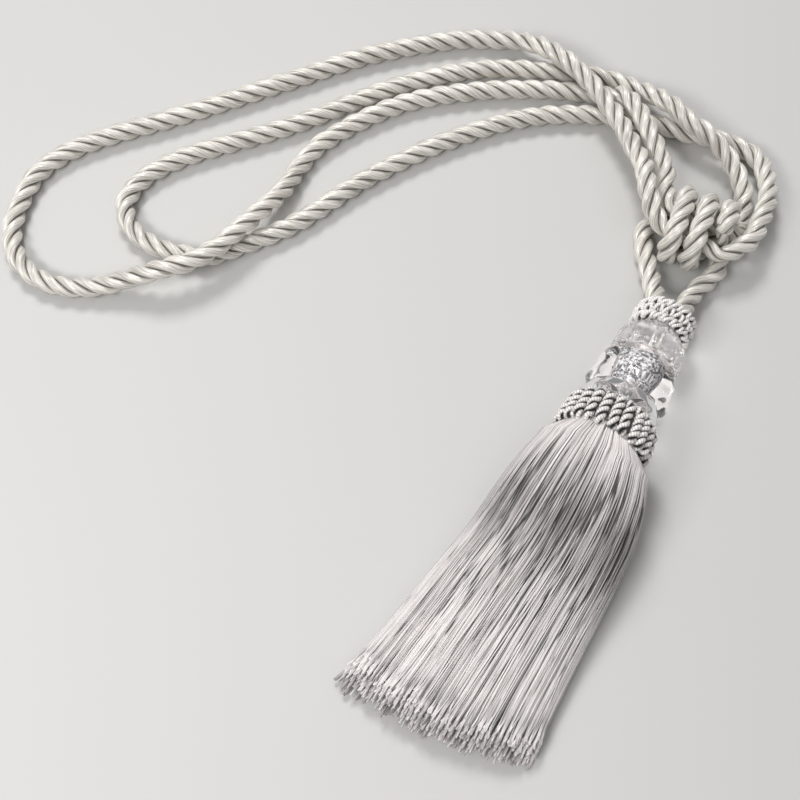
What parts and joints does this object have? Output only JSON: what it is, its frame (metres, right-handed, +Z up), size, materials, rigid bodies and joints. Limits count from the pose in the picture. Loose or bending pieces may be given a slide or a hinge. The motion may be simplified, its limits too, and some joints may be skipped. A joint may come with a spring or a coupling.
{
  "type": "curtain tieback tassel",
  "caption": "Twisted rope doubled into long holdback loops, gathered by a wrapped knot above a tassel with clear faceted beads, knotted trimmings and a silky cut-thread skirt.",
  "frame": {"origin": "middle of the tassel's footprint on the surface it lies on, rope left out", "axes": "+Z up from the surface; +Y along the tassel from its cut threads towards the rope; +X to the right seen from above"},
  "size_m": [0.3521, 0.3416, 0.0468],
  "materials": {
    "rope_yarn": "satin twisted rayon yarn, silver grey",
    "trimming_cord": "satin knotted cord, silver grey",
    "clear_bead": "clear, polished facets",
    "silver_core": "crinkled silver foil",
    "skirt_thread": "silky fine threads, light silver grey"
  },
  "bodies": {
    "root": {"loop_rope": "rope_yarn", "hanger_cord": "rope_yarn", "top_trimming": "trimming_cord", "upper_bead": "clear_bead", "wide_bead": "clear_bead", "collar_bead": "clear_bead", "bead_core": "silver_core", "wide_trimming": "trimming_cord", "skirt": "skirt_thread"}
  },
  "joints": []
}
